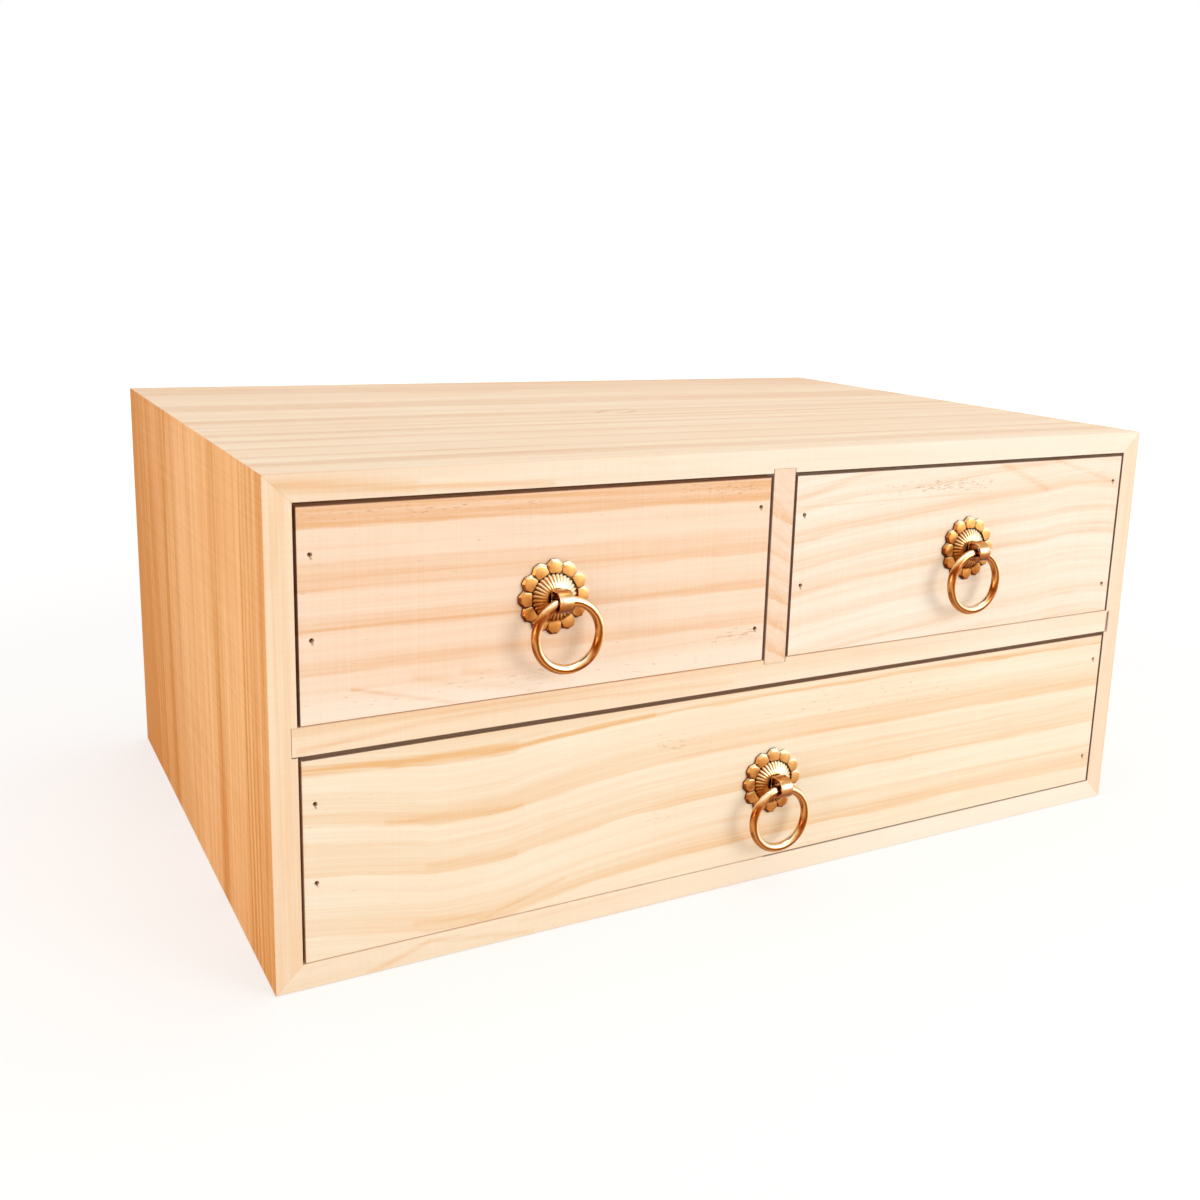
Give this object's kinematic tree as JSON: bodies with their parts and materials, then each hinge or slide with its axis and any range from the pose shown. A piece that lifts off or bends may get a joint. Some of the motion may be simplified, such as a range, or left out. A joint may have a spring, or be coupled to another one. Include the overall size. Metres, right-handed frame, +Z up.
{
  "type": "desktop drawer chest",
  "caption": "Low unfinished pine chest for watercolour paints: mitred case, upper and lower drawers that slide out, brass ring pulls that swing.",
  "frame": {"origin": "centre of the underside of the case", "axes": "+Z up, +X to the right as seen by someone facing the drawers, the drawer fronts face -Y"},
  "size_m": [0.4, 0.2801, 0.18],
  "materials": {
    "pine_case": "bare sanded pine",
    "pine_divider": "bare sanded pine",
    "pine_front": "bare sanded pine",
    "pine_box": "bare sanded pine",
    "plywood": "bare plywood",
    "brass": "polished",
    "steel_nails": "bare"
  },
  "bodies": {
    "case": {"bottom_board": "pine_case", "right_side": "pine_case", "top_board": "pine_case", "left_side": "pine_case", "shelf": "pine_divider", "partition": "pine_divider", "back_panel": "plywood", "back_panel_nails": "steel_nails"},
    "upper_left_drawer": {"upper_left_front": "pine_front", "upper_left_left_wall": "pine_box", "upper_left_right_wall": "pine_box", "upper_left_back": "pine_box", "upper_left_bottom": "plywood", "upper_left_front_nails": "steel_nails", "upper_left_back_nails": "steel_nails", "upper_left_pull_rosette": "brass", "upper_left_pull_boss": "brass", "upper_left_pull_strap": "brass"},
    "upper_left_ring": {"upper_left_pull_ring": "brass"},
    "upper_right_drawer": {"upper_right_front": "pine_front", "upper_right_left_wall": "pine_box", "upper_right_right_wall": "pine_box", "upper_right_back": "pine_box", "upper_right_bottom": "plywood", "upper_right_front_nails": "steel_nails", "upper_right_back_nails": "steel_nails", "upper_right_pull_rosette": "brass", "upper_right_pull_boss": "brass", "upper_right_pull_strap": "brass"},
    "upper_right_ring": {"upper_right_pull_ring": "brass"},
    "lower_drawer": {"lower_front": "pine_front", "lower_left_wall": "pine_box", "lower_right_wall": "pine_box", "lower_back": "pine_box", "lower_bottom": "plywood", "lower_front_nails": "steel_nails", "lower_back_nails": "steel_nails", "lower_pull_rosette": "brass", "lower_pull_boss": "brass", "lower_pull_strap": "brass"},
    "lower_ring": {"lower_pull_ring": "brass"}
  },
  "joints": [
    {"name": "upper_left_slide", "type": "slide", "parent": "case", "child": "upper_left_drawer", "axis": [0, -1, 0], "range_m": [0, 0.215]},
    {"name": "upper_left_ring_swing", "type": "hinge", "parent": "upper_left_drawer", "child": "upper_left_ring", "pos_m": [-0.09857, -0.142, 0.1309], "axis": [-1, 0, 0], "range_deg": [-13, 193]},
    {"name": "upper_right_slide", "type": "slide", "parent": "case", "child": "upper_right_drawer", "axis": [0, -1, 0], "range_m": [0, 0.215]},
    {"name": "upper_right_ring_swing", "type": "hinge", "parent": "upper_right_drawer", "child": "upper_right_ring", "pos_m": [0.09788, -0.142, 0.13257], "axis": [-1, 0, 0], "range_deg": [-13, 193]},
    {"name": "lower_slide", "type": "slide", "parent": "case", "child": "lower_drawer", "axis": [0, -1, 0], "range_m": [0, 0.215]},
    {"name": "lower_ring_swing", "type": "hinge", "parent": "lower_drawer", "child": "lower_ring", "pos_m": [0.0015, -0.142, 0.0423], "axis": [-1, 0, 0], "range_deg": [-13, 193]}
  ]
}
